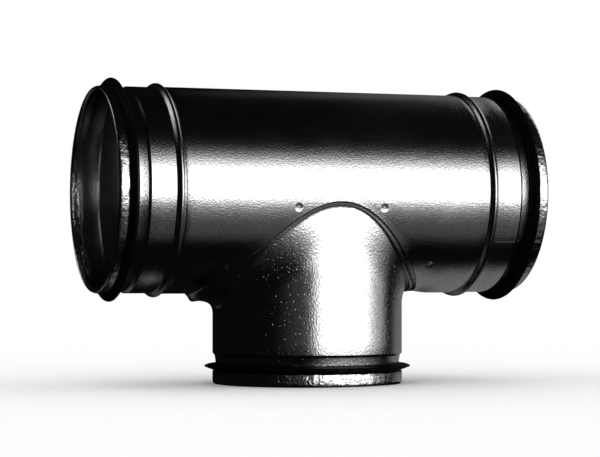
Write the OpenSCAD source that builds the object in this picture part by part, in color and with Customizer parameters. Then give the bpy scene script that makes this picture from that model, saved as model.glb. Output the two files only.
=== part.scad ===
// Duct tee in zinc-coated sheet steel. A long main tube with a male spigot at each end
// carries a slightly smaller branch that points down. Every spigot has a rubber lip seal
// held in a rolled groove under a folded hem. The part stands on the rim of its branch:
// X runs along the main tube, Z is the axis of the branch, and the origin is the middle
// of the branch rim.

/* [Main tube] */
// Outside diameter of the straight body
main_d = 160; // [154:1:220]
// Length of the straight body between the stop beads
body_len = 246; // [228:1:500]
// Thickness of the sheet
sheet_t = 0.6; // [0.5:0.1:1]
// How much smaller the spigots are than the body, on the diameter
spigot_undersize = 0.8; // [0.4:0.1:2]
// Distance from the rim to the near side of the stop bead
insertion = 43.4; // [36:0.1:70]
// Width of the stop bead
bead_w = 7.3; // [5:0.1:12]
// Height of the stop bead above the spigot
bead_h = 3.2; // [1.5:0.1:4]

/* [Branch] */
// Outside diameter of the branch
branch_d = 150; // [90:1:150]
// Distance from the underside of the body to the branch rim
branch_len = 71; // [56:1:150]

/* [Spigot ends] */
// Width of the folded hem on the main tube
hem_w = 7.4; // [6.4:0.1:10]
// Width of the folded hem on the branch
branch_hem_w = 9.6; // [6.4:0.1:10.4]
// Free height inside the hem, where the foot of the seal sits
hem_gap = 2; // [1.6:0.1:2.3]
// Length of the rounded rim, measured along the spigot
rim_round = 3.2; // [2.4:0.1:3.8]
// Distance from the rim to the far side of the seal groove
groove_end = 24.3; // [23:0.1:30]
// Depth of the seal groove below the spigot
groove_depth = 2.9; // [2.7:0.1:4]
// Length of the slope between the folded hem and the floor of the groove
groove_slope = 1.4; // [0.8:0.1:1.6]
// Length of the steep shoulder at the far side of the groove
shoulder_w = 2; // [1.2:0.1:2.8]
// Depth of that shoulder
shoulder_drop = 1.7; // [0.8:0.1:2]
// Length of the gentle slope between the shoulder and the floor of the groove
cone_w = 8; // [4:0.1:8]

/* [Seals] */
// Width of the rubber strip that shows behind the hem of the main tube
seal_w = 8.2; // [7:0.1:9]
// Width of the rubber strip that shows behind the hem of the branch
branch_seal_w = 6.6; // [6.4:0.1:9]
// Height of the lip above the spigot
lip_h = 6.4; // [3:0.1:8]
// Distance from the hem to the root of the lip
lip_setback = 1.2; // [0.8:0.1:1.2]
// Width of the lip at its root
lip_root_w = 5; // [3.8:0.1:5.1]
// Thickness of the lip above the middle of its height
lip_mid_w = 2.9; // [1.6:0.1:3.6]
// Thickness of the lip at its tip
lip_tip_w = 1.4; // [0.8:0.1:1.6]
// How far the tip leans towards the body of the tee
lip_lean = 0.6; // [0:0.1:2]

/* [Saddle of the branch] */
// Width of the hidden flange round the branch, measured along the body
flange_w = 32; // [30:0.5:36]
// Distance from the branch to the formed edge of the body, at the front and back
edge_crown = 19; // [15:0.5:20]
// The same distance at the left end of the saddle
edge_left = 25.5; // [18:0.5:26]
// The same distance at the right end of the saddle
edge_right = 12.5; // [11:0.5:20]
// How much closer that edge runs between the ends and the crowns
edge_waist = 2.5; // [0:0.5:4]
// Width of the formed edge at the crowns
lip_w_crown = 4.4; // [3:0.1:6]
// Width of the formed edge at the left end
lip_w_left = 6; // [3:0.5:9]
// Width of the formed edge at the right end
lip_w_right = 6.3; // [3:0.1:6.5]
// How far the edge is turned outwards at the left end
rise_left = 6.3; // [1.2:0.1:8]
// Depth of the step pressed in round the edge at the crowns
sink_crown = 0.9; // [0.4:0.1:1.6]
// Depth of the step pressed in round the edge at the right end
sink_right = 2.2; // [0.4:0.1:2.6]
// Height of the ridge inside the step at the crowns
ridge_crown = -0.3; // [-0.5:0.1:0.6]
// Height of the ridge inside the step at the right end
ridge_right = 1.8; // [0:0.1:2]
// How far the cut edge dips behind the ridge at the crowns
dip_crown = 0.5; // [0.2:0.1:1]
// How far the cut edge dips behind the ridge at the right end
dip_right = 1.8; // [0.2:0.1:2]
// Height of the crest round the outer side of the step at the right end
crest_right = 0.25; // [0.05:0.05:0.4]
// Depth of the drawn corner below the body at the crowns
corner_crown = 30; // [16:1:36]
// Depth of the drawn corner below the body at the left end
corner_left = 17; // [12:0.5:20]
// Depth of the drawn corner below the body at the right end
corner_right = 7; // [5:0.5:14]
// Clearance between lapped pieces
lap_gap = 0.05; // [0.03:0.01:0.1]

/* [Spot welds] */
// Diameter of a spot weld dimple
weld_d = 7.4; // [5:0.1:8]
// Depth of a spot weld dimple
weld_depth = 0.4; // [0.2:0.05:0.45]
// Distance from the rim of the hidden flange to the dimples
weld_inset = 6.5; // [6:0.1:7]
// Angle round the branch from the main axis to the lower dimples
weld_turn_low = 36; // [30:1:45]
// Angle round the branch from the main axis to the upper dimples
weld_turn_high = 74; // [65:1:80]

/* [Hidden] */

// Smoothness of the round faces, the folds and the swept sheet
fine = 180;
bead_steps = 12;
fold_steps = 9;
turns = 72;
angles = [for (k = [0:turns - 1]) k * 360 / turns];

main_r = main_d / 2;
branch_r = branch_d / 2;
spigot_r = main_r - spigot_undersize / 2;
body_start = insertion + bead_w;
main_len = body_len + 2 * body_start;
axis_h = main_r + branch_len;
fold_r = sheet_t + hem_gap / 2;
bead_lead = 1;

function turned(points) = [for (i = [len(points) - 1:-1:0]) points[i]];
function raised(points, by) = [for (p = points) [p[0], p[1] + by]];
function flipped(points, length) = [for (p = turned(points)) [length - p[0], p[1]]];

// A spigot is described from its rim: each point holds the distance from the rim and
// the radius of the outer face of the sheet there.
function groove_r(r) = r - groove_depth;
function hem_inner_r(r) = r - sheet_t - hem_gap;
cone_start = groove_end - shoulder_w - cone_w;
function groove_line(r, hem) = [
    [hem, hem_inner_r(r)],
    [hem + groove_slope, groove_r(r)],
    [cone_start, groove_r(r)],
    [groove_end - shoulder_w, r - shoulder_drop],
    [groove_end, r],
];
function bead_line(r) = [for (i = [0:bead_steps])
    [insertion + bead_w * i / bead_steps, r + bead_h * pow(sin(180 * i / bead_steps), 1.3)]];

// Half a turn of sheet at the rim, from the outside round to the inside, where inset is the
// depth below the outer face. The odd number of steps leaves a narrow flat land in the
// middle of the fold.
fold_reach = cos(90 / fold_steps);
function fold(r, inset) = [for (i = [0:fold_steps])
    let (a = 180 * i / fold_steps)
    [rim_round - (rim_round - inset) * sin(a) / fold_reach, r - fold_r + (fold_r - inset) * cos(a)]];

function main_section() =
    let (
        r = spigot_r,
        half = concat(groove_line(r, hem_w), bead_line(r), [[body_start + bead_lead, main_r]]),
        line = concat(half, flipped(half, main_len)),
        outer_fold = fold(r, 0),
        inner_fold = fold(r, sheet_t)
    )
    concat(
        [[hem_w, r]],
        outer_fold,
        raised(line, -sheet_t),
        flipped(outer_fold, main_len),
        [[main_len - hem_w, r], [main_len - hem_w, r - sheet_t]],
        turned(flipped(inner_fold, main_len)),
        turned(line),
        turned(inner_fold),
        [[hem_w, r - sheet_t]]
    );

function collar_section() =
    let (
        r = branch_r,
        line = concat(groove_line(r, branch_hem_w), [[axis_h - collar_top, r]])
    )
    concat(
        [[branch_hem_w, r]],
        fold(r, 0),
        raised(line, -sheet_t),
        turned(line),
        turned(fold(r, sheet_t)),
        [[branch_hem_w, r - sheet_t]]
    );

// Places on the body: an angle round the branch, and a distance from the branch that is
// measured along the sheet, square to the line where the two tubes would meet.
function joint_angle(a) = asin(branch_r * sin(a) / main_r);
function joint_normal(a) =
    let (n = [cos(a) / cos(joint_angle(a)), sin(a)])
    n / norm(n);
function spot(a, away) =
    let (n = joint_normal(a))
    [branch_r * cos(a) + n[0] * away, joint_angle(a) + n[1] * away / main_r * 180 / PI];
function at(place, r) = [place[0], r * sin(place[1]), -r * cos(place[1])];
function on_body(a, away, r) = at(spot(a, away), r);

// A value that is left at the left end, right at the right end and crown between them.
function blend(a, left, right, crown) =
    crown * pow(sin(a), 2) + (cos(a) < 0 ? left : right) * pow(cos(a), 2);

function edge_away(a) =
    blend(a, edge_left, edge_right, edge_crown) - edge_waist * pow(sin(2 * a), 2);
function formed_edge(a) = edge_away(a) - lap_gap;

// The formed edge keeps its crown form only near the crowns on the right side.
function crown_share(a) = pow(sin(a), cos(a) < 0 ? 2 : 6);
function formed(a, left, right, crown) =
    crown * crown_share(a) + (cos(a) < 0 ? left : right) * (1 - crown_share(a));
function edge_w(a) = formed(a, lip_w_left, lip_w_right, lip_w_crown);
function edge_rise(a) = blend(a, rise_left, 0, 0);

// The drawn corner has its end form only near the two ends, and its crown form elsewhere.
function near_end(a) = pow(cos(a), 4);
function corner_drop(a) =
    corner_crown * (1 - near_end(a)) + (cos(a) < 0 ? corner_left : corner_right) * near_end(a);

// Steps along the flange and round the drawn corner, and the places of the lines along the
// formed edge as shares of its width. The edge turns outwards at the left in a curve that
// grows steeper. Elsewhere it steps inwards, carries a ridge and dips at its cut edge, and
// at the right a low crest runs along the step.
flange_steps = 4;
corner_steps = 9;
step_start = 0.08;
step_end = 0.32;
dip_start = 0.8;
edge_shares = [0, step_start, 0.14, 0.2, 0.26, step_end, 0.56, dip_start, 0.9, 1];
edge_steps = len(edge_shares) - 1;
rise_power = 1.6;
function ease(share) = let (t = min(1, max(0, share))) t * t * (3 - 2 * t);
function lift(a, step) =
    let (share = edge_shares[step])
    edge_rise(a) * pow(share, rise_power)
    + formed(a, 0, crest_right, 0) * ease(share / step_start)
    - formed(a, 0, sink_right + crest_right, sink_crown)
        * ease((share - step_start) / (step_end - step_start))
    + formed(a, 0, ridge_right, ridge_crown) * ease((share - step_end) / (dip_start - step_end))
    - formed(a, 0, dip_right, dip_crown) * ease((share - dip_start) / (1 - dip_start));
function along_edge(a, step) = formed_edge(a) - edge_w(a) * edge_shares[step];

// The round collar starts below the deepest part of the drawn corner. Just above it the
// swept sheet is thinned by a skin on both sides, so that it joins the collar in its wall.
collar_lap = 1.5;
collar_top = max([for (a = angles) main_r * cos(joint_angle(a)) + corner_drop(a)]) + collar_lap;
thinned_above = 0.4;
full_above = 0.8;
skin = 0.1;
inner_skin = skin + branch_r * (1 - cos(180 / turns));
pull_left = 0.45;
pull_right = 0.2;
pull_crown = 0.4;

function bezier(p, t) =
    pow(1 - t, 3) * p[0] + 3 * pow(1 - t, 2) * t * p[1] + 3 * (1 - t) * t * t * p[2] + t * t * t * p[3];
function corner_controls(a, inset) =
    let (
        away = formed_edge(a) - edge_w(a),
        r = main_r + lift(a, edge_steps) - sheet_t - lap_gap - inset,
        start = on_body(a, away, r),
        ahead = on_body(a, away - 1, r),
        collar_r = branch_r - inset,
        end = [collar_r * cos(a), collar_r * sin(a), -main_r * cos(joint_angle(a)) - corner_drop(a)],
        pull = blend(a, pull_left, pull_right, pull_crown) * norm(end - start),
        along = (ahead - start) / norm(ahead - start),
        down = (end - start) / norm(end - start)
    )
    [start, start + pull * (along * near_end(a) + down * (1 - near_end(a))), end + [0, 0, pull], end];

// One face of the saddle sheet, from the rim of the flange to the collar.
function saddle_face(a, inset) =
    let (
        r = main_r - sheet_t - lap_gap - inset,
        edge = formed_edge(a),
        controls = corner_controls(a, inset)
    )
    concat(
        [for (i = [0:flange_steps - 1]) on_body(a, flange_w + (edge - flange_w) * i / flange_steps, r)],
        [for (i = [0:edge_steps - 1]) on_body(a, along_edge(a, i), r + lift(a, i))],
        [for (i = [0:corner_steps]) bezier(controls, i / corner_steps)]
    );
function lap_face(a, r, thinned_r) = [
    for (p = [[r, -full_above], [thinned_r, -thinned_above], [thinned_r, collar_lap]])
        [p[0] * cos(a), p[0] * sin(a), -collar_top - p[1]]];
function saddle_section(a) =
    let (inner_r = branch_r - sheet_t)
    concat(
        saddle_face(a, 0),
        lap_face(a, branch_r, branch_r - skin),
        turned(lap_face(a, inner_r, inner_r + inner_skin)),
        turned(saddle_face(a, sheet_t))
    );

// The formed edge of the body, from a root inside the wall to its cut edge.
root_w = 1;
root_inset = 0.2;
function edge_section(a) =
    let (edge = formed_edge(a), inner_r = main_r - sheet_t)
    concat(
        [on_body(a, edge + root_w, main_r - skin)],
        [for (i = [0:edge_steps]) on_body(a, along_edge(a, i), main_r + lift(a, i))],
        [for (i = [edge_steps:-1:0]) on_body(a, along_edge(a, i), inner_r + lift(a, i))],
        [on_body(a, edge + root_w, inner_r + root_inset)]
    );

// Joins closed sections, one for each angle, into a ring round the branch.
module ring_of(sections) {
    n = len(sections[0]);
    count = len(sections);
    faces = [for (k = [0:count - 1]) for (i = [0:n - 1])
        let (k2 = (k + 1) % count, i2 = (i + 1) % n)
        for (face = [[k * n + i, k2 * n + i, k2 * n + i2], [k * n + i, k2 * n + i2, k * n + i2]]) face];
    polyhedron(points = [for (s = sections) for (p = s) p], faces = faces, convexity = 6);
}

// The opening in the body is cut square to the sheet.
opening_rows = 4;
module opening() {
    inner_r = main_r * 0.3;
    outer_r = main_r * 1.06;
    inner = [for (a = angles) at(spot(a, edge_away(a)), inner_r)];
    outer = [for (row = [opening_rows:-1:1]) for (a = angles)
        at(spot(a, edge_away(a)) * row / opening_rows, outer_r)];
    inner_middle = (opening_rows + 1) * turns;
    outer_middle = inner_middle + 1;
    faces = [for (k = [0:turns - 1])
        let (k2 = (k + 1) % turns, last = opening_rows * turns)
        for (face = concat(
            [[inner_middle, k2, k], [outer_middle, last + k, last + k2]],
            [for (row = [0:opening_rows - 1])
                for (half = [
                    [row * turns + k, (row + 1) * turns + k2, (row + 1) * turns + k],
                    [row * turns + k, row * turns + k2, (row + 1) * turns + k2],
                ]) half]
        )) face];
    polyhedron(points = concat(inner, outer, [[0, 0, -inner_r], [0, 0, -outer_r]]), faces = faces, convexity = 6);
}

// The spot weld dimples, mirrored to the left and right and to the front and back.
module weld_dimples() {
    ball_r = (pow(weld_d / 2, 2) + pow(weld_depth, 2)) / (2 * weld_depth);
    for (turn = [weld_turn_low, weld_turn_high, 180 - weld_turn_high, 180 - weld_turn_low])
        for (side = [-1, 1])
            translate(on_body(side * turn, flange_w - weld_inset, main_r - weld_depth + ball_r))
                sphere(r = ball_r, $fn = 48);
}

module main_tube() {
    color("silver")
        translate([0, 0, axis_h])
            union() {
                difference() {
                    rotate([0, 90, 0])
                        rotate_extrude($fn = fine)
                            polygon([for (p = main_section()) [p[1], p[0] - main_len / 2]]);
                    opening();
                    weld_dimples();
                }
                ring_of([for (a = angles) edge_section(a)]);
            }
}

module branch_saddle() {
    color("gainsboro")
        union() {
            rotate_extrude($fn = fine)
                polygon([for (p = collar_section()) [p[1], p[0]]]);
            translate([0, 0, axis_h])
                ring_of([for (a = angles) saddle_section(a)]);
        }
}

// A lip seal for a spigot of radius r. Its foot is clamped under the hem, its strip lies
// in the groove, and its lip stands up to press against the inside of a duct.
seal_foot = 2.4;
seal_chamfer = 0.6;
lip_mid = 0.6;
module lip_seal(r, hem, width) {
    floor_r = groove_r(r) + lap_gap;
    cone_rise = max(0, hem + width - cone_start) * (groove_depth - shoulder_drop) / cone_w;
    foot_r = hem_inner_r(r) + lap_gap;
    strip_r = r - sheet_t - lap_gap;
    root_start = hem + lip_setback;
    root_end = root_start + lip_root_w;
    tip = (root_start + root_end) / 2 + lip_lean;
    tip_r = r + lip_h;
    rotate_extrude($fn = fine)
        polygon([
            [foot_r, hem - seal_foot],
            [foot_r, hem - lap_gap],
            [floor_r, hem + groove_slope + lap_gap],
            [floor_r + cone_rise, hem + width - seal_chamfer],
            [strip_r - seal_chamfer, hem + width],
            [strip_r, root_end],
            [r + lip_h * lip_mid, tip + lip_mid_w / 2],
            [tip_r - lip_tip_w / 2, tip + lip_tip_w / 2],
            [tip_r - lip_tip_w / 8, tip + lip_tip_w / 4],
            [tip_r, tip],
            [tip_r - lip_tip_w / 8, tip - lip_tip_w / 4],
            [tip_r - lip_tip_w / 2, tip - lip_tip_w / 2],
            [r + lip_h * lip_mid, tip - lip_mid_w / 2],
            [strip_r, root_start],
            [strip_r, hem - seal_foot],
        ]);
}

module seal_left() {
    color([0.08, 0.08, 0.08])
        translate([-main_len / 2, 0, axis_h])
            rotate([0, 90, 0])
                lip_seal(spigot_r, hem_w, seal_w);
}

module seal_right() {
    mirror([1, 0, 0]) seal_left();
}

module seal_branch() {
    color([0.08, 0.08, 0.08])
        lip_seal(branch_r, branch_hem_w, branch_seal_w);
}

main_tube();
branch_saddle();
seal_left();
seal_right();
seal_branch();
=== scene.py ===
# %% [markdown]
# # A duct tee in zinc-coated sheet steel
# The part is a ventilation tee: a long round tube, a shorter branch on a drawn saddle, and
# three black rubber seals. The measured model is loaded first and never moves. Everything
# in this lesson is built around it, in metres, with Z up and the long tube along X.

# %% Load the measured part
import math

import bmesh
import bpy
import numpy as np
from mathutils import Matrix, Vector


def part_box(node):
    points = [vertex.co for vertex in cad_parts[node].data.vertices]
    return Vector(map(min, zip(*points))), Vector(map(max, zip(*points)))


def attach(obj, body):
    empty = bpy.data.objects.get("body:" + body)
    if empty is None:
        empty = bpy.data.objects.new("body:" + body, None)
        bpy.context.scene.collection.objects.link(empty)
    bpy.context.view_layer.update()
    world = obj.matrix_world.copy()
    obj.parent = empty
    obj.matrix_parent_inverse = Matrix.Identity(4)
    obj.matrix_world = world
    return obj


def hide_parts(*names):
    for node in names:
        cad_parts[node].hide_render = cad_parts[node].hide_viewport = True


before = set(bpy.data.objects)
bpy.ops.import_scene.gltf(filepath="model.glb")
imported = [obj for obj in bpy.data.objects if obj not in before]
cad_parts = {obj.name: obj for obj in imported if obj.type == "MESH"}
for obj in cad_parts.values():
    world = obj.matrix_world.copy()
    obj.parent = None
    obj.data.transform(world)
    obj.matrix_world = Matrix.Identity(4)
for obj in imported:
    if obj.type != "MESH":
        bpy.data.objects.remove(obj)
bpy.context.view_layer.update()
print("measured nodes:", sorted(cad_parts))

# %% [markdown]
# ## Sizes
# The height of the main axis and the length of the tube are read from the measured model.
# The sheet's own sizes are written once here, in metres, through a millimetre factor.

# %% Sizes of the tee
mm = 0.001
tube_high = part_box("main_tube")[1]
seal_low, seal_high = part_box("seal_left")
HALF_LEN = tube_high[0]
AXIS_H = (seal_low[2] + seal_high[2]) / 2
SHEET = 0.6 * mm
MAIN_R = 80 * mm
SPIGOT_R = 79.6 * mm
BRANCH_R = 75 * mm
HEM_GAP = 2 * mm
RIM_ROUND = 3.2 * mm
RAGGED = 0.3 * mm
HEM_W = 7.4 * mm
BRANCH_HEM_W = 9.6 * mm
GROOVE_END = 24.3 * mm
GROOVE_DEPTH = 2.9 * mm
GROOVE_SLOPE = 1.4 * mm
SHOULDER_W = 2 * mm
SHOULDER_DROP = 1.7 * mm
CONE_W = 8 * mm
CONE_START = GROOVE_END - SHOULDER_W - CONE_W
BEAD_START = 43.4 * mm
BEAD_W = 7.3 * mm
BEAD_H = 3.2 * mm
BEAD_LEAD = 1 * mm
LAP_GAP = 0.05 * mm
print("half length %.4f m, main axis %.4f m above the rim" % (HALF_LEN, AXIS_H))

# %% [markdown]
# ## The camera
# The lens is long and stands low on the left, so the branch looks nearly straight while the
# near end of the tube opens into an ellipse.

# %% Camera at the photograph's place
IMAGE_W = 600
FOCAL_PIXELS = 2054.8
SENSOR_W = 36


def add_camera():
    """Puts the camera where the rims, the beads and the seals line up with the picture."""
    data = bpy.data.cameras.new("camera")
    data.sensor_width = SENSOR_W
    data.lens = FOCAL_PIXELS / IMAGE_W * SENSOR_W
    camera = bpy.data.objects.new("camera", data)
    camera.location = (-0.5559, -1.5324, AXIS_H - 0.0654)
    camera.rotation_euler = (math.radians(91.289), math.radians(0.08), math.radians(-19.744))
    bpy.context.collection.objects.link(camera)
    bpy.context.scene.camera = camera
    return camera


camera = add_camera()
print("lens %.1f mm" % camera.data.lens)

# %% [markdown]
# ## Writing shader maths as Python
# A material is a graph of nodes. Linking each Math node by hand hides the idea behind it, so
# one small class wraps an output socket and lets Python's own operators add those nodes.


# %% Shader sockets that understand arithmetic
class Wire:
    """An output socket. Arithmetic on it adds Math nodes to the same tree."""

    def __init__(self, paint, socket):
        self.paint = paint
        self.socket = socket

    def math(self, operation, *values):
        return self.paint.node("ShaderNodeMath", {"operation": operation}, dict(enumerate(values)))

    def __add__(self, other):
        return self.math("ADD", self, other)

    def __sub__(self, other):
        return self.math("SUBTRACT", self, other)

    def __rsub__(self, other):
        return self.math("SUBTRACT", other, self)

    def __mul__(self, other):
        return self.math("MULTIPLY", self, other)

    def __truediv__(self, other):
        return self.math("DIVIDE", self, other)

    def __abs__(self):
        return self.math("ABSOLUTE", self)

    __radd__ = __add__
    __rmul__ = __mul__

    def above(self, low, high):
        """0 below low, 1 above high, and a smooth step between them."""
        settings = {"interpolation_type": "SMOOTHSTEP"}
        sockets = {"Value": self, "From Min": low, "From Max": high}
        return self.paint.node("ShaderNodeMapRange", settings, sockets)


class Paint:
    """A material or world tree, with one method that adds any node to it."""

    def __init__(self, owner):
        owner.use_nodes = True
        self.tree = owner.node_tree
        self.tree.nodes.clear()

    def node(self, kind, settings=None, sockets=None, output=0):
        node = self.tree.nodes.new(kind)
        for name, value in (settings or {}).items():
            if name == "stops":
                self.set_stops(node.color_ramp, value)
            else:
                setattr(node, name, value)
        for name, value in (sockets or {}).items():
            if isinstance(value, Wire):
                self.tree.links.new(value.socket, node.inputs[name])
            else:
                node.inputs[name].default_value = value
        return Wire(self, node.outputs[output]) if node.outputs else node

    @staticmethod
    def set_stops(ramp, stops):
        while len(ramp.elements) < len(stops):
            ramp.elements.new(1)
        for element, (position, level) in zip(ramp.elements, stops):
            element.position = position
            element.color = (level, level, level, 1)

    def noise(self, where, scale, detail=2, stretch=(1, 1, 1), roughness=0.5):
        """A noise value near 0.5, with features of about 1 / scale metres."""
        if stretch != (1, 1, 1):
            where = self.node("ShaderNodeMapping", None, {"Vector": where, "Scale": stretch})
        sockets = {"Vector": where, "Scale": scale, "Detail": detail, "Roughness": roughness}
        return self.node("ShaderNodeTexNoise", None, sockets)

    def mix(self, factor, first, second):
        sockets = {"Factor": factor, 6: first, 7: second}
        return self.node("ShaderNodeMix", {"data_type": "RGBA"}, sockets, output=2)


print("shader helpers ready")

# %% [markdown]
# ## The studio
# The picture has a pure white background, and yet most of the metal is dark. That is how
# bare metal is lit in a studio: a polished surface shows only what stands around it, so one
# large soft window makes the white bands, and dark cloth everywhere else makes the deep
# tones. The white world and the pale floor light the scene evenly. A tent of dark cloth
# with its window hangs round the part, and only reflections see it.


# %% White world and pale floor
def add_world():
    world = bpy.data.worlds.new("white_room")
    bpy.context.scene.world = world
    paint = Paint(world)
    background = paint.node("ShaderNodeBackground", None, {"Color": (1, 1, 1, 1), "Strength": 1})
    paint.node("ShaderNodeOutputWorld", None, {"Surface": background})


def add_floor():
    bpy.ops.mesh.primitive_plane_add(size=60)
    floor = bpy.context.object
    floor.name = "floor"
    floor.visible_glossy = False
    material = bpy.data.materials.new("pale_floor")
    paint = Paint(material)
    sockets = {"Base Color": (1, 1, 1, 1), "Roughness": 0.9, "Specular IOR Level": 0}
    shader = paint.node("ShaderNodeBsdfPrincipled", None, sockets)
    paint.node("ShaderNodeOutputMaterial", None, {"Surface": shader})
    floor.data.materials.append(material)
    return floor


bpy.context.scene.view_settings.view_transform = "Standard"
add_world()
floor = add_floor()
print("world and floor ready")

# %% [markdown]
# ## The tent
# The tent is a large sphere. A level tube mirrors it as a fan of directions that goes from
# the front over the top to the back, and an upright tube mirrors it as a level circle. So
# its brightness is written over two angles: rise, round the long tube, and side, round the
# branch. Both are counted in half turns from the front. Two soft boxes, high on both sides
# behind the part, light its back. The part shades the ground behind its branch, and a small
# dark card stands for that shade in the reflections.

# %% Reflection tent
TENT_R = 6
WINDOW_LIGHT = 3
SOFT_BOX_LIGHT = 0.9
DIM_CLOTH = 0.003
CARD_PLACE = (-0.018, 0.12, 0.0002)
CARD_REACH = (0.088, 0.18)


def tent_directions(paint):
    """The three parts of the direction from the tee to the cloth."""
    where = paint.node("ShaderNodeNewGeometry", None, None, output=0)
    away = paint.node("ShaderNodeVectorMath", {"operation": "SUBTRACT"}, {0: where, 1: (0, 0, AXIS_H)})
    unit = paint.node("ShaderNodeVectorMath", {"operation": "NORMALIZE"}, {0: away})
    split = paint.tree.nodes.new("ShaderNodeSeparateXYZ")
    paint.tree.links.new(unit.socket, split.inputs[0])
    return (Wire(paint, split.outputs[name]) for name in "XYZ")


def tent_brightness(paint):
    """How bright the cloth is in each direction, as seen from the part."""
    x, y, z = tent_directions(paint)
    rise = x.math("ARCTAN2", z, 0 - y) / math.pi
    side = x.math("ARCTAN2", x, 0 - y) / math.pi
    upper = 1 - rise.above(0.07, 0.33)
    lower = rise.above(-0.066, -0.04)
    edge = side.above(-0.11, 0.01)
    left = edge * edge * 0.98 + side.above(-0.33, -0.1) * 0.02
    right = (1 - side.above(0.26, 0.4)) * 0.88 + (1 - side.above(0.42, 0.62)) * 0.12
    window = upper * upper * upper * lower * left * right * WINDOW_LIGHT
    table_glow = rise.above(-0.24, -0.05) * rise.above(-0.24, -0.05) * (1 - rise.above(-0.05, 0.03)) * 0.6
    table = rise.above(-0.31, -0.295) * (1 - rise.above(-0.06, 0)) * 0.085
    from_table = (table + table_glow) * side.above(-0.09, 0.15) * (1 - side.above(0.46, 0.56))
    back_wall = side.above(0.56, 0.64) * (1 - z.above(0.5, 0.75)) * (0.2 - z.above(-0.1, 0.1) * 0.08)
    # Painted shade: the cloth goes dark in these directions. It stands in for the branch, which hides this
    # part of the back wall from the crease round the saddle.
    painted_branch_shade = z.above(-0.68, -0.62) * (1 - z.above(-0.45, -0.35)) * (1 - side.above(0.68, 0.76))
    back_wall = back_wall * z.above(-0.93, -0.87) * (1 - side.above(0.84, 0.9)) * (1 - painted_branch_shade)
    back_left = (1 - side.above(-0.92, -0.86)) * z.above(-0.9, -0.85) * (1 - z.above(-0.45, -0.3)) * 0.1
    behind = abs(x).above(0.42, 0.6) * y.above(0.05, 0.3) * z.above(0.3, 0.5) * (1 - z.above(0.7, 0.8))
    return window + from_table + back_wall + back_left + behind * SOFT_BOX_LIGHT + DIM_CLOTH


def add_tent():
    bpy.ops.mesh.primitive_uv_sphere_add(segments=64, ring_count=32, radius=TENT_R, location=(0, 0, AXIS_H))
    tent = bpy.context.object
    tent.name = "reflection_tent"
    for sight in ("visible_camera", "visible_diffuse", "visible_shadow", "visible_transmission"):
        setattr(tent, sight, False)
    material = bpy.data.materials.new("tent_cloth")
    paint = Paint(material)
    sockets = {"Color": (1, 1, 1, 1), "Strength": tent_brightness(paint)}
    glow = paint.node("ShaderNodeEmission", None, sockets)
    paint.node("ShaderNodeOutputMaterial", None, {"Surface": glow})
    tent.data.materials.append(material)
    return tent


def add_shadow_card():
    """The dark ground behind the branch, which only reflections see."""
    bpy.ops.mesh.primitive_plane_add(size=2)
    card = bpy.context.object
    card.name = "shadow_card"
    card.data.transform(Matrix.Translation(CARD_PLACE) @ Matrix.Diagonal((*CARD_REACH, 1, 1)))
    for sight in ("visible_camera", "visible_diffuse", "visible_shadow", "visible_transmission"):
        setattr(card, sight, False)
    material = bpy.data.materials.new("shadow_cloth")
    paint = Paint(material)
    dark = paint.node("ShaderNodeEmission", None, {"Color": (1, 1, 1, 1), "Strength": 0.004})
    paint.node("ShaderNodeOutputMaterial", None, {"Surface": dark})
    card.data.materials.append(material)


tent = add_tent()
add_shadow_card()
print("tent and shadow card ready")

# %% [markdown]
# ## Drawing a sheet by its open ring
# Sheet metal is formed a ring at a time: a rim is folded, a groove is rolled, an edge is
# flared. The mesh is made the same way. It starts as a circle whose points remember their
# turn round the axis. Each step extrudes the open ring and lays the new points in place.


# %% Ring tools
def start_ring(name, count, place):
    """A circle primitive in edit mode, its points laid by place(turn)."""
    bpy.ops.object.select_all(action="DESELECT")
    bpy.ops.mesh.primitive_circle_add(vertices=count, radius=1)
    piece = bpy.context.object
    piece.name = name
    bpy.ops.object.mode_set(mode="EDIT")
    mesh = bmesh.from_edit_mesh(piece.data)
    turn = mesh.verts.layers.float.new("turn")
    for point in mesh.verts:
        point[turn] = math.atan2(point.co.y, point.co.x)
        point.co = place(point[turn])
    bmesh.update_edit_mesh(piece.data)
    return piece


def pull(piece, place):
    """Extrudes what is selected and lays the new points by place(turn)."""
    bpy.ops.mesh.extrude_region_move()
    mesh = bmesh.from_edit_mesh(piece.data)
    turn = mesh.verts.layers.float["turn"]
    for point in mesh.verts:
        if point.select:
            point.co = place(point[turn])
    bmesh.update_edit_mesh(piece.data)


def select_edges(piece, wanted):
    """Selects only the open edges for which wanted(edge) is true."""
    bpy.ops.mesh.select_all(action="DESELECT")
    bpy.ops.mesh.select_mode(type="EDGE")
    mesh = bmesh.from_edit_mesh(piece.data)
    chosen = [edge for edge in mesh.edges if len(edge.link_faces) < 2 and wanted(edge)]
    for edge in chosen:
        edge.select_set(True)
    bmesh.update_edit_mesh(piece.data)
    return len(chosen)


def merge_doubles(distance=0.01 * mm):
    bpy.ops.mesh.select_all(action="SELECT")
    bpy.ops.mesh.remove_doubles(threshold=distance)


def outward(piece, probe):
    """Recalculates the normals and turns them if the face nearest to probe looks inwards."""
    bpy.ops.mesh.select_all(action="SELECT")
    bpy.ops.mesh.normals_make_consistent(inside=False)
    mesh = bmesh.from_edit_mesh(piece.data)
    point, direction = probe
    nearest = min(mesh.faces, key=lambda face: (face.calc_center_median() - point).length)
    if nearest.normal.dot(direction) < 0:
        bpy.ops.mesh.flip_normals()
    bpy.ops.object.mode_set(mode="OBJECT")


def apply_modifier(piece, name, kind, **settings):
    modifier = piece.modifiers.new(name, kind)
    for key, value in settings.items():
        setattr(modifier, key, value)
    bpy.ops.object.select_all(action="DESELECT")
    piece.select_set(True)
    bpy.context.view_layer.objects.active = piece
    bpy.ops.object.modifier_apply(modifier=name)


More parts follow.
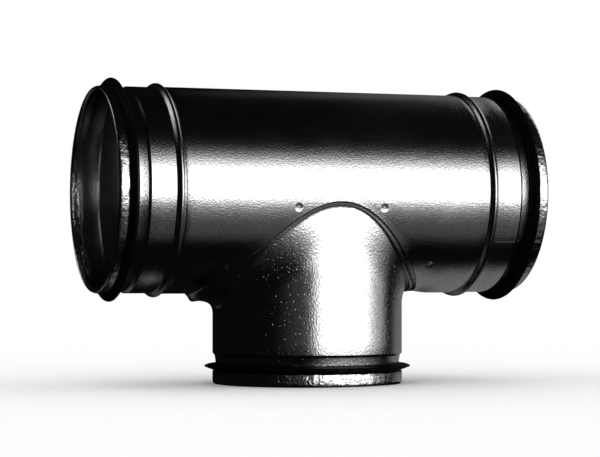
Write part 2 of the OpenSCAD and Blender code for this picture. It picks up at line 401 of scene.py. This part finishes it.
def make_sheet(piece):
    """Rounds the rolled corners, gives the surface its thickness and softens the cut edges."""
    apply_modifier(piece, "rolled", "BEVEL", width=0.45 * mm, segments=3, limit_method="ANGLE",
                   angle_limit=math.radians(24), use_clamp_overlap=True)
    apply_modifier(piece, "thickness", "SOLIDIFY", thickness=SHEET, offset=-1, use_even_offset=True)
    apply_modifier(piece, "cut_edge", "BEVEL", width=0.1 * mm, segments=2, limit_method="ANGLE",
                   angle_limit=math.radians(60), use_clamp_overlap=True)


print("ring tools ready")

# %% [markdown]
# ## Where the two tubes meet
# The saddle follows the line where an upright tube would pierce a level one. A place near it
# is given by a turn round the branch and a distance from the branch along the sheet. The
# left side of the real saddle was drawn wider and lower than the right side.

# %% Places on the body
EDGE_CROWN = 19 * mm
EDGE_LEFT = 25.5 * mm
EDGE_RIGHT = 12.5 * mm
EDGE_WAIST = 2.5 * mm
LIP_W_CROWN = 4.4 * mm
LIP_W_LEFT = 6 * mm
LIP_W_RIGHT = 6.3 * mm
RISE_LEFT = 6.3 * mm
RISE_POWER = 1.6
SINK_CROWN = 0.9 * mm
SINK_RIGHT = 2.2 * mm
RIDGE_CROWN = -0.3 * mm
RIDGE_RIGHT = 1.8 * mm
DIP_CROWN = 0.5 * mm
DIP_RIGHT = 1.8 * mm
CREST_RIGHT = 0.25 * mm
STEP_START = 0.08
STEP_END = 0.32
DIP_START = 0.8
FLANGE_W = 32 * mm
CORNER_CROWN = 30 * mm
CORNER_LEFT = 17 * mm
CORNER_RIGHT = 7 * mm
CORNER_PULLS = (0.45, 0.2, 0.4)


def joint_angle(turn):
    return math.asin(BRANCH_R * math.sin(turn) / MAIN_R)


def spot(turn, away):
    """The place along X, and the turn round the main tube from its underside."""
    normal = Vector((math.cos(turn) / math.cos(joint_angle(turn)), math.sin(turn))).normalized()
    return BRANCH_R * math.cos(turn) + normal.x * away, joint_angle(turn) + normal.y * away / MAIN_R


def on_tube(x, tilt, radius):
    return Vector((x, radius * math.sin(tilt), AXIS_H - radius * math.cos(tilt)))


def on_body(turn, away, radius):
    return on_tube(*spot(turn, away), radius)


def blend(turn, left, right, crown):
    side = left if math.cos(turn) < 0 else right
    return crown * math.sin(turn) ** 2 + side * math.cos(turn) ** 2


def edge_away(turn):
    return blend(turn, EDGE_LEFT, EDGE_RIGHT, EDGE_CROWN) - EDGE_WAIST * math.sin(2 * turn) ** 2


def formed(turn, left, right, crown):
    """Like blend, but the right side keeps its crown form only near the crowns."""
    share = math.sin(turn) ** (2 if math.cos(turn) < 0 else 6)
    return crown * share + (left if math.cos(turn) < 0 else right) * (1 - share)


def lip_width(turn):
    return formed(turn, LIP_W_LEFT, LIP_W_RIGHT, LIP_W_CROWN)


def ease(share):
    held = min(1, max(0, share))
    return held * held * (3 - 2 * held)


def lift(turn, share):
    """How far the formed edge stands out. It is negative where the edge is pressed inwards."""
    rise = blend(turn, RISE_LEFT, 0, 0) * share ** RISE_POWER
    crest = formed(turn, 0, CREST_RIGHT, 0) * ease(share / STEP_START)
    sink = formed(turn, 0, SINK_RIGHT + CREST_RIGHT, SINK_CROWN)
    step = sink * ease((share - STEP_START) / (STEP_END - STEP_START))
    ridge = formed(turn, 0, RIDGE_RIGHT, RIDGE_CROWN) * ease((share - STEP_END) / (DIP_START - STEP_END))
    dip = formed(turn, 0, DIP_RIGHT, DIP_CROWN) * ease((share - DIP_START) / (1 - DIP_START))
    return rise + crest - step + ridge - dip


def edge_shares():
    """Where the rings lie along the formed edge. They are close together at the step and the dip."""
    step = [0, STEP_START / 2] + [STEP_START + (STEP_END - STEP_START) * i / 8 for i in range(8)]
    ridge = [STEP_END + (DIP_START - STEP_END) * i / 4 for i in range(4)]
    dip = [DIP_START + (1 - DIP_START) * i / 6 for i in range(7)]
    return step + ridge + dip


hole_left, hole_right = [spot(turn, edge_away(turn))[0] for turn in (math.pi, 0)]
print("hole reaches from x %.4f to %.4f m" % (hole_left, hole_right))

# %% [markdown]
# ## The spigot's outline
# From its cut edge the sheet runs along the folded hem to the rim, turns round inside it,
# drops into the seal groove, climbs to the plain spigot and swells into the stop bead. Each
# step is a distance from the rim and the radius of the sheet's outer face.

# %% Outline steps
FOLD_STEPS = 14
BEAD_STEPS = 20


def ragged(turn):
    """How far the cut edge of a folded hem strays, because the fold stretches the sheet unevenly."""
    return RAGGED * (math.sin(23 * turn) * math.sin(7 * turn + 1) + 0.5 * math.sin(41 * turn + 2))


def hem_and_groove(radius, hem):
    """Steps from the cut edge of the hem, round the fold and through the groove."""
    fold_r = SHEET + HEM_GAP / 2
    steps = [(hem, radius - SHEET), ((hem + RIM_ROUND) / 2, radius - SHEET)]
    for i in range(FOLD_STEPS + 1):
        angle = math.pi * i / FOLD_STEPS
        away = RIM_ROUND - (RIM_ROUND - SHEET) * math.sin(angle)
        steps.append((away, radius - fold_r + HEM_GAP / 2 * math.cos(angle)))
    steps += [
        (hem, radius - SHEET - HEM_GAP),
        (hem + GROOVE_SLOPE, radius - GROOVE_DEPTH),
        (CONE_START, radius - GROOVE_DEPTH),
        (GROOVE_END - SHOULDER_W, radius - SHOULDER_DROP),
        (GROOVE_END, radius),
    ]
    return steps


def bead(radius):
    return [(BEAD_START + BEAD_W * i / BEAD_STEPS, radius + BEAD_H * math.sin(math.pi * i / BEAD_STEPS) ** 1.3)
            for i in range(BEAD_STEPS)]


print("hem and groove have %d steps" % len(hem_and_groove(SPIGOT_R, HEM_W)))

# %% [markdown]
# ## The main tube
# The left end is pulled out ring by ring, then copied and mirrored for the right end. The
# upper arc of the body is pulled across to it, which leaves a four-sided gap underneath.

# %% Tube ends and the top of the body
TUBE_STEPS = 180
BODY_CUTS = 60
PATCH_X = 118 * mm
PATCH_TILT = math.radians(100)


def ring_at(x, radius):
    return lambda turn: on_tube(x, turn, radius)


def pull_left_end():
    body_start = BEAD_START + BEAD_W
    steps = hem_and_groove(SPIGOT_R, HEM_W)
    steps += [((GROOVE_END + BEAD_START) / 2, SPIGOT_R)] + bead(SPIGOT_R)
    steps += [(body_start, SPIGOT_R), (body_start + BEAD_LEAD, MAIN_R), (HALF_LEN - PATCH_X, MAIN_R)]
    tube = start_ring("tube_sheet", TUBE_STEPS,
                      lambda turn: ring_at(steps[0][0] + ragged(turn) - HALF_LEN, steps[0][1])(turn))
    for away, radius in steps[1:]:
        pull(tube, ring_at(away - HALF_LEN, radius))
    return tube


def mirror_to_right(tube):
    bpy.ops.mesh.select_all(action="SELECT")
    bpy.ops.mesh.duplicate()
    bpy.ops.transform.resize(value=(-1, 1, 1), center_override=(0, 0, 0))


def pull_top(tube):
    """Pulls the arc over the top of the tube from the left end to the right end."""
    turn = bmesh.from_edit_mesh(tube.data).verts.layers.float["turn"]
    on_arc = PATCH_TILT - 0.001

    def on_left_border(edge):
        near = all(abs(point.co.x + PATCH_X) < 0.01 * mm for point in edge.verts)
        return near and all(abs(point[turn]) > on_arc for point in edge.verts)

    count = select_edges(tube, on_left_border)
    for i in range(1, BODY_CUTS + 1):
        pull(tube, ring_at(PATCH_X * (2 * i / BODY_CUTS - 1), MAIN_R))
    merge_doubles()
    return count


tube = pull_left_end()
mirror_to_right(tube)
print("edges in the top arc:", pull_top(tube))

# %% [markdown]
# ## The hole and its turned-out edge
# The gap's border is pulled inwards to the edge of the hole. Both lines have as many points,
# matched by their direction from the middle, so the mesh between them is a tidy fan. The
# same ring is then pulled over the formed edge that shows round the saddle. It is turned
# outwards at the left end. Elsewhere it steps inwards, carries a ridge and dips at its end.

# %% Patch round the hole
PATCH_RINGS = 10
DENT_DEPTH = 1.6 * mm
DENT_SHARE = 0.55


def direction(x, tilt):
    """The direction of a place on the unrolled body, seen from the middle of the hole."""
    left, right = spot(math.pi, edge_away(math.pi))[0], spot(0, edge_away(0))[0]
    crown = spot(math.pi / 2, edge_away(math.pi / 2))[1]
    return math.atan2(tilt / crown, (x - (left + right) / 2) / ((right - left) / 2))


def turn_of_direction():
    """A function that gives the turn round the branch at which the hole lies in a direction."""
    turns = np.linspace(-math.pi, math.pi, 1441)
    directions = np.unwrap([direction(*spot(turn, edge_away(turn))) for turn in turns])
    return lambda wanted: float(np.interp(wanted, directions, turns))


def dent(turn, share):
    """How far the body is drawn in beside the right end, share being 1 at the hole's edge."""
    near = max(0, (share - 1 + DENT_SHARE) / DENT_SHARE)
    return DENT_DEPTH * max(0, math.cos(turn)) ** 4 * near * near * (3 - 2 * near)


def pull_patch(tube):
    reach = PATCH_X + 0.01 * mm
    select_edges(tube, lambda edge: all(abs(point.co.x) < reach for point in edge.verts))
    mesh = bmesh.from_edit_mesh(tube.data)
    turn = mesh.verts.layers.float["turn"]
    turn_at = turn_of_direction()
    border = []
    for point in mesh.verts:
        if point.select:
            tilt = math.atan2(point.co.y, AXIS_H - point.co.z)
            point[turn] = turn_at(direction(point.co.x, tilt))
            border.append((point[turn], point.co.x, tilt))
    bmesh.update_edit_mesh(tube.data)
    turns, xs, tilts = zip(*sorted(border))

    def between(share):
        def place(turn):
            x, tilt = spot(turn, edge_away(turn))
            start_x = np.interp(turn, turns, xs, period=2 * math.pi)
            start_tilt = np.interp(turn, turns, tilts, period=2 * math.pi)
            radius = MAIN_R - dent(turn, share)
            return on_tube(start_x + (x - start_x) * share, start_tilt + (tilt - start_tilt) * share, radius)
        return place

    for i in range(1, PATCH_RINGS + 1):
        pull(tube, between(i / PATCH_RINGS))
    return len(border)


def pull_lip(tube):
    def lip(share):
        def place(turn):
            radius = MAIN_R + lift(turn, share) - dent(turn, 1) * (1 - share)
            return on_body(turn, edge_away(turn) - lip_width(turn) * share, radius)
        return place

    for share in edge_shares()[1:]:
        pull(tube, lip(share))


print("points round the hole:", pull_patch(tube))
pull_lip(tube)
merge_doubles()
outward(tube, (Vector((0, 0, AXIS_H + MAIN_R)), Vector((0, 0, 1))))
make_sheet(tube)
print("tube faces:", len(tube.data.polygons))

# %% [markdown]
# ## Spot weld dimples
# The saddle's hidden flange is spot-welded to the body. Each weld shows as a round dent with
# a crisp rim, sides that grow steeper and a small flat floor. A pad is first joined to the inside
# of the sheet at each weld, and a blunt tip is then cut into it. The dent's edges are marked
# as sharp, so that its shading doesn't run out into the sheet around it.

# %% Spot welds
WELD_R = 3.7 * mm
WELD_LOW_R = 3.6 * mm
WELD_MID_R = 2.5 * mm
WELD_FLOOR_R = 1.4 * mm
WELD_WALL = 0.1 * mm
WELD_SLOPE = 0.13 * mm
WELD_STEEPER = 0.36 * mm
TIP_ABOVE = 0.3 * mm
WELD_AWAY = 25.5 * mm
WELD_TURNS = (36, 74, 106, 144)
PAD_R = 3.8 * mm
PAD_LOW_R = 2.8 * mm
PAD_DEPTH = 1.3 * mm


def make_plug(low_r, high_r, height, low):
    """An upright, slightly tapered plug whose lower end lies at the height low."""
    bpy.ops.object.select_all(action="DESELECT")
    bpy.ops.mesh.primitive_cone_add(vertices=40, radius1=low_r, radius2=high_r, depth=height)
    plug = bpy.context.object
    plug.data.transform(Matrix.Translation((0, 0, low + height / 2)))
    return plug


def draw_lower_end(plug, first_in, first_depth, then_in, then_depth):
    """Insets the plug's lower end face twice and pushes it out, which gives it a blunt tip."""
    bpy.ops.object.mode_set(mode="EDIT")
    bpy.ops.mesh.select_all(action="DESELECT")
    bpy.ops.mesh.select_mode(type="FACE")
    mesh = bmesh.from_edit_mesh(plug.data)
    lowest = min(mesh.faces, key=lambda face: face.calc_center_median().z)
    lowest.select_set(True)
    bmesh.update_edit_mesh(plug.data)
    bpy.ops.mesh.inset(thickness=first_in, depth=first_depth)
    bpy.ops.mesh.inset(thickness=then_in, depth=then_depth)
    bpy.ops.mesh.select_mode(type="VERT")
    bpy.ops.object.mode_set(mode="OBJECT")


def weld_spots():
    return [spot(side * math.radians(degrees), WELD_AWAY) for degrees in WELD_TURNS for side in (-1, 1)]


def copies_at_welds(plug):
    """Puts a copy of the plug at every weld, upright on the sheet, joined as one object."""
    copies = []
    for x, tilt in weld_spots():
        copy = plug.copy()
        copy.data = plug.data.copy()
        outwards = on_tube(x, tilt, 1) - on_tube(x, tilt, 0)
        upright = outwards.to_track_quat("Z", "Y").to_matrix().to_4x4()
        copy.data.transform(Matrix.Translation(on_tube(x, tilt, MAIN_R)) @ upright)
        bpy.context.collection.objects.link(copy)
        copies.append(copy)
    bpy.data.objects.remove(plug)
    bpy.ops.object.select_all(action="DESELECT")
    for copy in copies:
        copy.select_set(True)
    bpy.context.view_layer.objects.active = copies[0]
    bpy.ops.object.join()
    return bpy.context.object


def sharpen_dents(tube):
    """Marks every bent edge near a weld as sharp."""
    bpy.context.view_layer.objects.active = tube
    centres = [on_tube(x, tilt, MAIN_R) for x, tilt in weld_spots()]
    bpy.ops.object.mode_set(mode="EDIT")
    mesh = bmesh.from_edit_mesh(tube.data)
    for edge in mesh.edges:
        if edge.calc_face_angle(0) > math.radians(4):
            place = edge.verts[0].co
            if min((place - centre).length for centre in centres) < WELD_R + 0.3 * mm:
                edge.smooth = False
    bmesh.update_edit_mesh(tube.data)
    bpy.ops.object.mode_set(mode="OBJECT")


def press_welds(tube):
    pads = copies_at_welds(make_plug(PAD_LOW_R, PAD_R, PAD_DEPTH - SHEET / 2, -PAD_DEPTH))
    apply_modifier(tube, "pads", "BOOLEAN", object=pads, operation="UNION", solver="MANIFOLD")
    bpy.data.objects.remove(pads)
    tip = make_plug(WELD_LOW_R, WELD_R, WELD_WALL + TIP_ABOVE, -WELD_WALL)
    draw_lower_end(tip, WELD_LOW_R - WELD_MID_R, WELD_SLOPE, WELD_MID_R - WELD_FLOOR_R, WELD_STEEPER)
    tips = copies_at_welds(tip)
    apply_modifier(tube, "welds", "BOOLEAN", object=tips, operation="DIFFERENCE", solver="MANIFOLD")
    bpy.data.objects.remove(tips)
    sharpen_dents(tube)
    return len(weld_spots())


print("spot welds:", press_welds(tube))

# %% [markdown]
# ## The branch and its saddle
# One drawn sheet makes the branch and the saddle. The ring starts at the hem, folds round
# the rim, dips into the groove and climbs the collar. Then a smooth curve takes it over the
# drawn corner to the raised edge, and the last rings slip under the body as a flange.

# %% Branch saddle
SADDLE_STEPS = 216
CORNER_RINGS = 24
FLANGE_RINGS = 4
COLLAR_RINGS = 6


def bezier(points, share):
    a, b, c, d = points
    rest = 1 - share
    return a * rest ** 3 + b * 3 * rest ** 2 * share + c * 3 * rest * share ** 2 + d * share ** 3


def corner_curve(turn):
    """The four points of the drawn corner, from the collar up to the raised edge."""
    away = edge_away(turn) - lip_width(turn)
    radius = MAIN_R + lift(turn, 1) - SHEET - LAP_GAP
    top = on_body(turn, away, radius)
    near_end = math.cos(turn) ** 4
    drop = CORNER_CROWN * (1 - near_end) + (CORNER_LEFT if math.cos(turn) < 0 else CORNER_RIGHT) * near_end
    bottom = Vector((BRANCH_R * math.cos(turn), BRANCH_R * math.sin(turn),
                     AXIS_H - MAIN_R * math.cos(joint_angle(turn)) - drop))
    along = (on_body(turn, away - 1 * mm, radius) - top).normalized()
    down = (bottom - top).normalized()
    start = along * near_end + down * (1 - near_end)
    reach = blend(turn, *CORNER_PULLS) * (bottom - top).length
    return bottom, bottom + Vector((0, 0, reach)), top + start * reach, top


def collar_at(z, radius):
    return lambda turn: Vector((radius * math.cos(turn), radius * math.sin(turn), z))


def pull_collar(saddle, groove_end):
    """Straight rings from the groove up to the start of the drawn corner."""
    def rising(share):
        def place(turn):
            end = corner_curve(turn)[0].z
            return collar_at(groove_end + (end - groove_end) * share, BRANCH_R)(turn)
        return place

    for i in range(1, COLLAR_RINGS + 1):
        pull(saddle, rising(i / COLLAR_RINGS))


def pull_saddle(saddle):
    under = MAIN_R - SHEET - LAP_GAP
    for i in range(1, CORNER_RINGS + 1):
        pull(saddle, lambda turn: bezier(corner_curve(turn), i / CORNER_RINGS))

    def under_lip(share):
        def place(turn):
            radius = under + lift(turn, share) - dent(turn, 1) * (1 - share)
            return on_body(turn, edge_away(turn) - lip_width(turn) * share, radius)
        return place

    def flange(share):
        def place(turn):
            away = edge_away(turn) + (FLANGE_W - edge_away(turn)) * share
            return on_body(turn, away, under - dent(turn, 1))
        return place

    for share in reversed(edge_shares()[:-1]):
        pull(saddle, under_lip(share))
    for i in range(1, FLANGE_RINGS + 1):
        pull(saddle, flange(i / FLANGE_RINGS))


def make_saddle():
    steps = hem_and_groove(BRANCH_R, BRANCH_HEM_W)
    z, radius = steps[0]
    saddle = start_ring("saddle_sheet", SADDLE_STEPS,
                        lambda turn: collar_at(z + ragged(turn), radius)(turn))
    for z, radius in steps[1:]:
        pull(saddle, collar_at(z, radius))
    pull_collar(saddle, steps[-1][0])
    pull_saddle(saddle)
    merge_doubles()
    outward(saddle, (Vector((0, -BRANCH_R, 40 * mm)), Vector((0, -1, 0))))
    make_sheet(saddle)
    return saddle


saddle = make_saddle()
print("saddle faces:", len(saddle.data.polygons))

# %% [markdown]
# ## The rubber seals
# Each seal is an extruded strip bent into a ring: a foot under the hem, a band in the groove
# and a soft lip that stands up. Its section is a small outline that is spun round the axis.

# %% Seal sections
SEAL_W = 8.2 * mm
BRANCH_SEAL_W = 6.6 * mm
LIP_H = 6.4 * mm
LIP_SETBACK = 1.2 * mm
LIP_ROOT_W = 5 * mm
LIP_MID_W = 2.9 * mm
LIP_MID = 0.6
LIP_TIP_W = 1.4 * mm
LIP_LEAN = 0.6 * mm
SEAL_FOOT = 2.4 * mm
SEAL_CHAMFER = 0.6 * mm
SEAL_STEPS = 180


def seal_section(radius, hem, width):
    """Outline of the rubber: distances from the rim, and radii."""
    floor_r = radius - GROOVE_DEPTH + LAP_GAP
    foot_r = radius - SHEET - HEM_GAP + LAP_GAP
    strip_r = radius - SHEET - LAP_GAP
    root = hem + LIP_SETBACK
    root_end = root + LIP_ROOT_W
    tip = (root + root_end) / 2 + LIP_LEAN
    tip_r = radius + LIP_H
    half = LIP_TIP_W / 2
    cone_rise = max(0, hem + width - CONE_START) * (GROOVE_DEPTH - SHOULDER_DROP) / CONE_W
    outline = [
        (hem - SEAL_FOOT, foot_r), (hem - LAP_GAP, foot_r), (hem + GROOVE_SLOPE + LAP_GAP, floor_r),
        (hem + width - SEAL_CHAMFER, floor_r + cone_rise), (hem + width, strip_r - SEAL_CHAMFER),
        (root_end, strip_r), (tip + LIP_MID_W / 2, radius + LIP_H * LIP_MID),
    ]
    for degrees in (0, 30, 60, 90, 120, 150, 180):
        angle = math.radians(degrees)
        outline.append((tip + half * math.cos(angle), tip_r - half + half * math.sin(angle)))
    outline += [(tip - LIP_MID_W / 2, radius + LIP_H * LIP_MID), (root, strip_r)]
    outline.append((hem - SEAL_FOOT, strip_r))
    return outline


def make_seal(name, section, place, centre, axis):
    """Lays a circle's points on the section and spins it round the axis."""
    bpy.ops.object.select_all(action="DESELECT")
    bpy.ops.mesh.primitive_circle_add(vertices=len(section), radius=1)
    seal = bpy.context.object
    seal.name = name
    bpy.ops.object.mode_set(mode="EDIT")
    mesh = bmesh.from_edit_mesh(seal.data)
    mesh.verts.ensure_lookup_table()
    for point, step in zip(mesh.verts, section):
        point.co = place(*step)
    bmesh.update_edit_mesh(seal.data)
    bpy.ops.mesh.select_all(action="SELECT")
    bpy.ops.mesh.spin(steps=SEAL_STEPS, angle=2 * math.pi, center=centre, axis=axis)
    merge_doubles()
    bpy.ops.mesh.normals_make_consistent(inside=False)
    bpy.ops.object.mode_set(mode="OBJECT")
    return seal


main_section = seal_section(SPIGOT_R, HEM_W, SEAL_W)
branch_section = seal_section(BRANCH_R, BRANCH_HEM_W, BRANCH_SEAL_W)
main_centre = (0, 0, AXIS_H)
seals = [
    make_seal("rubber_seal_left", main_section, lambda d, r: on_tube(d - HALF_LEN, 0, r),
              main_centre, (1, 0, 0)),
    make_seal("rubber_seal_right", main_section, lambda d, r: on_tube(HALF_LEN - d, 0, r),
              main_centre, (1, 0, 0)),
    make_seal("rubber_seal_branch", branch_section, lambda d, r: Vector((r, 0, d)), (0, 0, 0), (0, 0, 1)),
]
print("seal faces:", [len(seal.data.polygons) for seal in seals])


# %% [markdown]
# ## Zinc and rubber
# Hot-dip zinc is a nearly smooth mirror with a fine grain. The grain tilts the surface by a
# few degrees, so the edge of each reflected band breaks up into specks. The coating also has
# faint cloudy patches. The drawn saddle has small raised specks and its grain is stretched
# along the pull. The folded hems and the end of the welded seam are slightly crumpled.

# %% Zinc and rubber
SEAM_TURN = math.radians(30.7)


def rough_places(paint, where):
    """1 on the folded hems, 0.3 on the seam at the right spigot and 0 elsewhere."""
    split = paint.tree.nodes.new("ShaderNodeSeparateXYZ")
    paint.tree.links.new(where.socket, split.inputs[0])
    x, y, z = [Wire(paint, split.outputs[axis]) for axis in "XYZ"]
    main_hems = abs(x).above(HALF_LEN - HEM_W - 1 * mm, HALF_LEN - HEM_W)
    branch_hem = 1 - z.above(BRANCH_HEM_W, BRANCH_HEM_W + 1 * mm)
    beside = (z - AXIS_H) * math.cos(SEAM_TURN) - y * math.sin(SEAM_TURN)
    seam = (1 - abs(beside).above(0.5 * mm, 1.2 * mm)) * x.above(0.13, 0.134) * (1 - y.above(-1 * mm, 0))
    return main_hems + branch_hem + seam * 0.3


def zinc(name, grain_stretch, speck_height):
    material = bpy.data.materials.new(name)
    paint = Paint(material)
    where = paint.node("ShaderNodeTexCoord", None, None, output=3)
    grain = paint.noise(where, 760, detail=2, stretch=grain_stretch, roughness=0.6)
    peel = paint.noise(where, 250, detail=0)
    cloud = paint.noise(where, 25, detail=3)
    tone = 0.5 + (cloud - 0.5) * 0.4 + (grain - 0.5) * 1.2
    colour = paint.mix(tone, (0.42, 0.42, 0.42, 1), (0.78, 0.78, 0.78, 1))
    roughness = 0.17 + (cloud - 0.5) * 0.15
    specks = paint.noise(where, 520, detail=0).above(0.74, 0.8)
    crumple = paint.noise(where, 260, detail=2) * rough_places(paint, where)
    height = grain + peel * 0.1 + specks * speck_height + crumple * 4
    bump = paint.node("ShaderNodeBump", None, {"Strength": 1, "Distance": 0.15 * mm, "Height": height})
    sockets = {"Base Color": colour, "Metallic": 1, "Roughness": roughness, "Normal": bump}
    shader = paint.node("ShaderNodeBsdfPrincipled", None, sockets)
    paint.node("ShaderNodeOutputMaterial", None, {"Surface": shader})
    return material


def rubber():
    material = bpy.data.materials.new("seal_rubber")
    paint = Paint(material)
    where = paint.node("ShaderNodeTexCoord", None, None, output=3)
    grain = paint.noise(where, 900, detail=2)
    roughness = 0.5 + (grain - 0.5) * 0.2
    bump = paint.node("ShaderNodeBump", None, {"Strength": 0.3, "Distance": 0.05 * mm, "Height": grain})
    sockets = {"Base Color": (0.0015, 0.0015, 0.0015, 1), "Roughness": roughness, "Normal": bump,
               "Specular IOR Level": 0.03}
    shader = paint.node("ShaderNodeBsdfPrincipled", None, sockets)
    paint.node("ShaderNodeOutputMaterial", None, {"Surface": shader})
    return material


def cover(piece, material):
    piece.data.materials.clear()
    piece.data.materials.append(material)


cover(tube, zinc("zinc_tube", (1, 1, 1), 0))
cover(saddle, zinc("zinc_saddle", (1, 1, 0.8), 0.7))
black = rubber()
for seal in seals:
    cover(seal, black)
print("materials:", sorted(material.name for material in bpy.data.materials))

# %% [markdown]
# ## Shading and riding
# Smooth shading hides the small facets of each bend and keeps the cut edges crisp. The tee
# has no joints, so every piece rides on the root and takes the place of its measured node.

# %% Shading and riding
def smooth(piece, degrees):
    bpy.ops.object.select_all(action="DESELECT")
    piece.select_set(True)
    bpy.context.view_layer.objects.active = piece
    bpy.ops.object.shade_smooth_by_angle(angle=math.radians(degrees))


smooth(tube, 30)
smooth(saddle, 30)
for seal in seals:
    smooth(seal, 40)

replaced = {tube: ("main_tube", "tube_sheet"), saddle: ("branch_saddle", "saddle_sheet")}
for seal, side in zip(seals, ("left", "right", "branch")):
    replaced[seal] = ("seal_" + side, "seal_rubber")
for piece, (node, slot) in replaced.items():
    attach(piece, "root")
    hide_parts(node)
